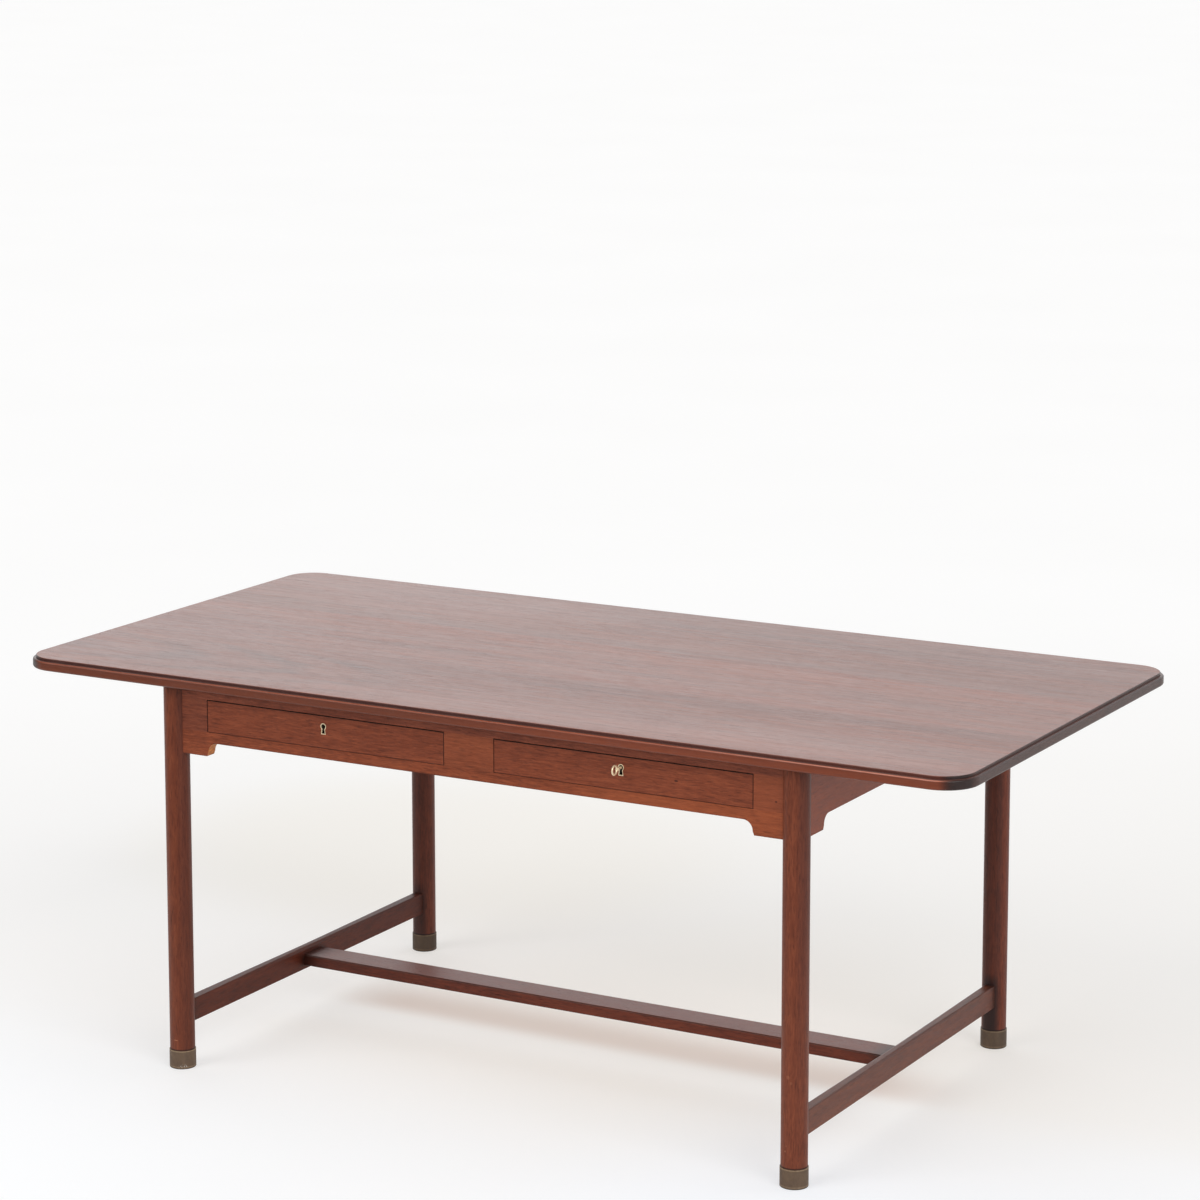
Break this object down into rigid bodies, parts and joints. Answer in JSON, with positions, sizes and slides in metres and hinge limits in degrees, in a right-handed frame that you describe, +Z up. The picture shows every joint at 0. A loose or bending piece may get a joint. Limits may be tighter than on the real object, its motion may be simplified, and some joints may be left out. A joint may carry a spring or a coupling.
{
  "type": "partners desk",
  "caption": "Writing desk with a wide moulded top on round legs in metal shoes, a bracketed drawer frame used from both long sides, and an H stretcher.",
  "frame": {"origin": "centre of the desk's outline, on the floor under its shoes", "axes": "+X along the desk, -Y towards the long side whose drawer carries the key, +Z up"},
  "size_m": [1.8, 0.9, 0.712],
  "materials": {
    "mahogany": "oiled and waxed solid mahogany, satin",
    "mahogany_top": "solid mahogany boards, satin lacquer, darker end grain",
    "inside_wood": "unfinished secondary wood",
    "drawer_lining": "thin sanded solid wood",
    "drawer_plywood": "sanded plywood",
    "brass_shoe": "dark patinated brass with a worn rim",
    "brass_fittings": "aged brass",
    "screw_steel": "plain steel"
  },
  "bodies": {
    "frame": {"top_board_front": "mahogany_top", "top_board_middle": "mahogany_top", "top_board_back": "mahogany_top", "top_screws": "screw_steel", "top_buttons": "inside_wood", "leg_front_left": "mahogany", "leg_front_right": "mahogany", "leg_back_left": "mahogany", "leg_back_right": "mahogany", "leg_shoes": "brass_shoe", "shoe_screws": "screw_steel", "apron_left": "mahogany", "apron_right": "mahogany", "top_rail_front": "mahogany", "top_rail_back": "mahogany", "bottom_rail_front": "mahogany", "bottom_rail_back": "mahogany", "end_stiles": "mahogany", "centre_stile_front": "mahogany", "centre_stile_back": "mahogany", "stretcher_left": "mahogany", "stretcher_right": "mahogany", "stretcher_middle": "mahogany", "centre_rail": "inside_wood", "drawer_runners": "inside_wood", "drawer_guides": "inside_wood", "drawer_kickers": "inside_wood", "drawer_stops": "inside_wood"},
    "drawer_front_left": {"drawer_front_left_front": "mahogany", "drawer_front_left_sides": "drawer_lining", "drawer_front_left_back": "drawer_lining", "drawer_front_left_bottom": "drawer_plywood", "escutcheon_front_left": "brass_fittings", "lock_case_front_left": "brass_fittings"},
    "bolt_front_left": {"lock_bolt_front_left": "brass_fittings"},
    "drawer_front_right": {"drawer_front_right_front": "mahogany", "drawer_front_right_sides": "drawer_lining", "drawer_front_right_back": "drawer_lining", "drawer_front_right_bottom": "drawer_plywood", "escutcheon_front_right": "brass_fittings", "lock_case_front_right": "brass_fittings"},
    "bolt_front_right": {"lock_bolt_front_right": "brass_fittings"},
    "drawer_back_left": {"drawer_back_left_front": "mahogany", "drawer_back_left_sides": "drawer_lining", "drawer_back_left_back": "drawer_lining", "drawer_back_left_bottom": "drawer_plywood", "escutcheon_back_left": "brass_fittings", "lock_case_back_left": "brass_fittings"},
    "bolt_back_left": {"lock_bolt_back_left": "brass_fittings"},
    "drawer_back_right": {"drawer_back_right_front": "mahogany", "drawer_back_right_sides": "drawer_lining", "drawer_back_right_back": "drawer_lining", "drawer_back_right_bottom": "drawer_plywood", "escutcheon_back_right": "brass_fittings", "lock_case_back_right": "brass_fittings"},
    "bolt_back_right": {"lock_bolt_back_right": "brass_fittings"},
    "key": {"key": "brass_fittings"}
  },
  "joints": [
    {"name": "drawer_front_left_slide", "type": "slide", "parent": "frame", "child": "drawer_front_left", "axis": [0, -1, 0], "range_m": [0, 0.3]},
    {"name": "bolt_front_left_slide", "type": "slide", "parent": "drawer_front_left", "child": "bolt_front_left", "axis": [0, 0, 1], "range_m": [0, 0.006]},
    {"name": "drawer_front_right_slide", "type": "slide", "parent": "frame", "child": "drawer_front_right", "axis": [0, -1, 0], "range_m": [0, 0.3]},
    {"name": "bolt_front_right_slide", "type": "slide", "parent": "drawer_front_right", "child": "bolt_front_right", "axis": [0, 0, 1], "range_m": [0, 0.006]},
    {"name": "drawer_back_left_slide", "type": "slide", "parent": "frame", "child": "drawer_back_left", "axis": [0, 1, 0], "range_m": [0, 0.3]},
    {"name": "bolt_back_left_slide", "type": "slide", "parent": "drawer_back_left", "child": "bolt_back_left", "axis": [0, 0, 1], "range_m": [0, 0.006]},
    {"name": "drawer_back_right_slide", "type": "slide", "parent": "frame", "child": "drawer_back_right", "axis": [0, 1, 0], "range_m": [0, 0.3]},
    {"name": "bolt_back_right_slide", "type": "slide", "parent": "drawer_back_right", "child": "bolt_back_right", "axis": [0, 0, 1], "range_m": [0, 0.006]},
    {"name": "key_turn", "type": "hinge", "parent": "drawer_front_right", "child": "key", "pos_m": [0.28625, -0.412, 0.6485], "axis": [0, 1, 0], "range_deg": [0, 90]}
  ],
  "couplings": [
    {"joint": "bolt_front_right_slide", "follows": "key_turn", "m_per_rad": 0.0038}
  ]
}
